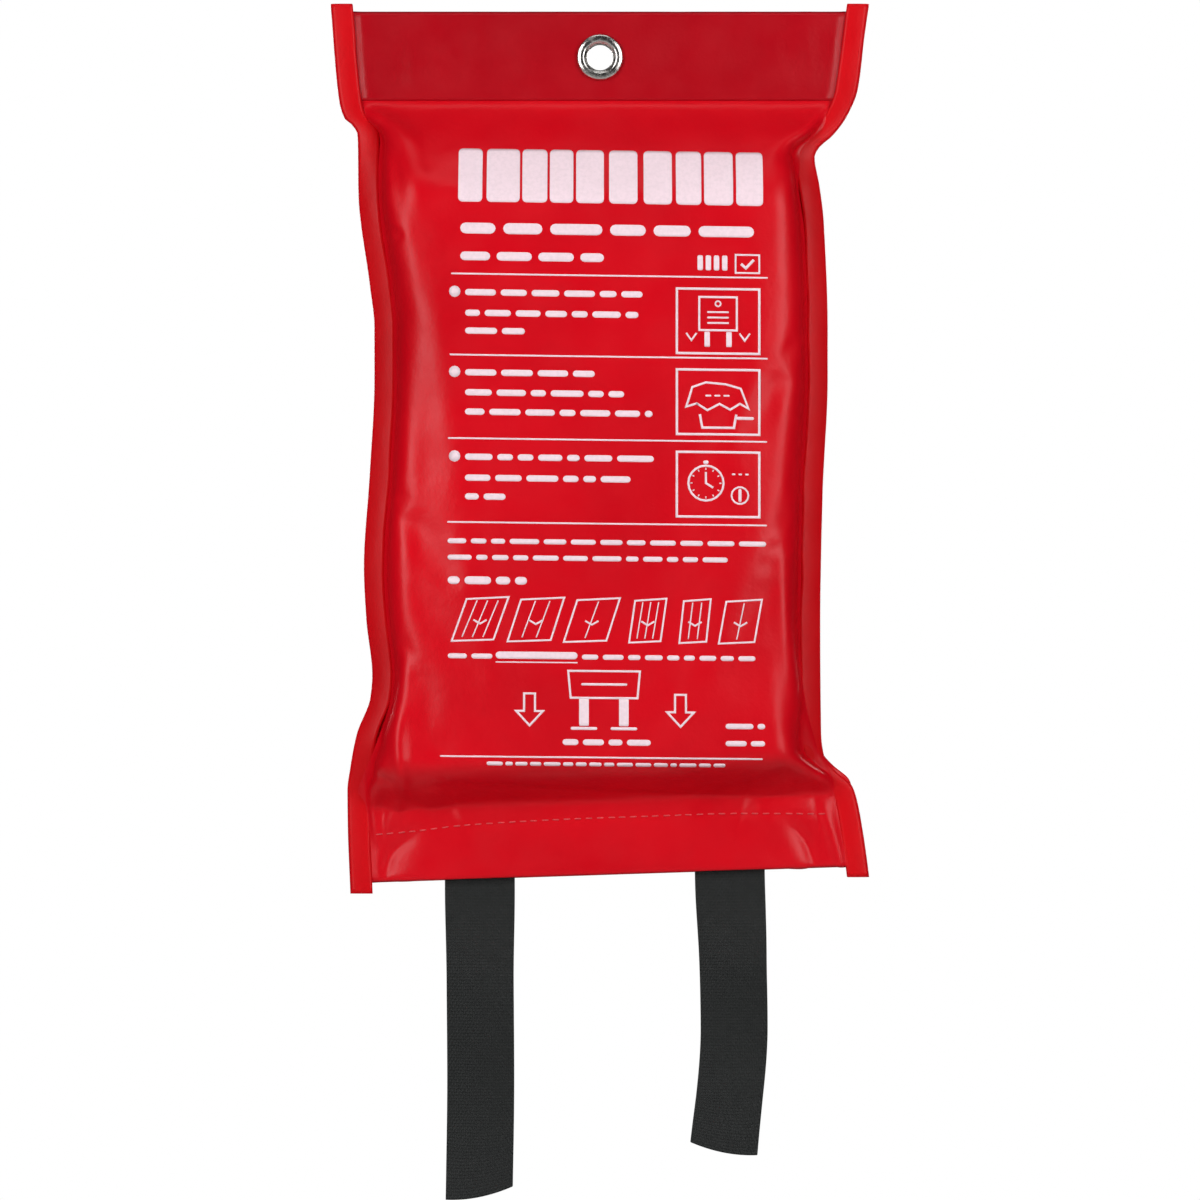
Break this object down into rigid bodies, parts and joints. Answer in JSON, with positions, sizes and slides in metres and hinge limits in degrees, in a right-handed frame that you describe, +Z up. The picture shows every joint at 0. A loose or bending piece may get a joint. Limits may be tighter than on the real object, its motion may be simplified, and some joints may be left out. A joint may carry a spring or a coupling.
{
  "type": "fire blanket in a soft pouch",
  "caption": "Flat red soft pouch with a hanging eyelet, an open lower mouth and a folded fire blanket that two black pull tapes draw out downwards.",
  "frame": {"origin": "centre of the eyelet's hole, in the plane of the back panel's outer face", "axes": "+Z up along the pouch, +Y backwards out of the pouch's back, +X to the right as seen from the front"},
  "size_m": [0.18, 0.0287, 0.3978],
  "materials": {
    "red_pvc": "satin",
    "red_binding": "satin",
    "print_white": "satin",
    "nickel_plate": "polished",
    "hook_tape": "matte",
    "loop_tape": "matte",
    "red_thread": "satin",
    "glass_fibre_cloth": "matte",
    "white_thread": "matte",
    "black_webbing": "matte",
    "black_thread": "matte"
  },
  "bodies": {
    "pouch": {"header_band": "red_pvc", "back_panel": "red_pvc", "front_panel": "red_pvc", "front_panel_mouth": "red_pvc", "left_edge_binding": "red_binding", "right_edge_binding": "red_binding", "eyelet_barrel": "nickel_plate", "eyelet_washer": "nickel_plate", "hook_strip": "hook_tape", "loop_strip": "loop_tape", "front_hem_thread": "red_thread", "back_hem_thread": "red_thread"},
    "blanket": {"folded_blanket": "glass_fibre_cloth", "blanket_hem_thread": "white_thread", "left_tape_sewn_end": "black_webbing", "right_tape_sewn_end": "black_webbing", "left_tape_thread": "black_thread", "right_tape_thread": "black_thread"},
    "left_pull": {"left_tape": "black_webbing"},
    "right_pull": {"right_tape": "black_webbing"}
  },
  "joints": [
    {"name": "blanket_slide", "type": "slide", "parent": "pouch", "child": "blanket", "axis": [0, 0, -1], "range_m": [0, 0.25], "deforming": ["front_panel_mouth", "front_hem_thread"]},
    {"name": "left_tape_swing", "type": "hinge", "parent": "blanket", "child": "left_pull", "pos_m": [-0.04, -0.0029, -0.2785], "axis": [1, 0, 0], "range_deg": [-110, 90]},
    {"name": "right_tape_swing", "type": "hinge", "parent": "blanket", "child": "right_pull", "pos_m": [0.044, -0.0029, -0.2785], "axis": [1, 0, 0], "range_deg": [-110, 90]}
  ]
}
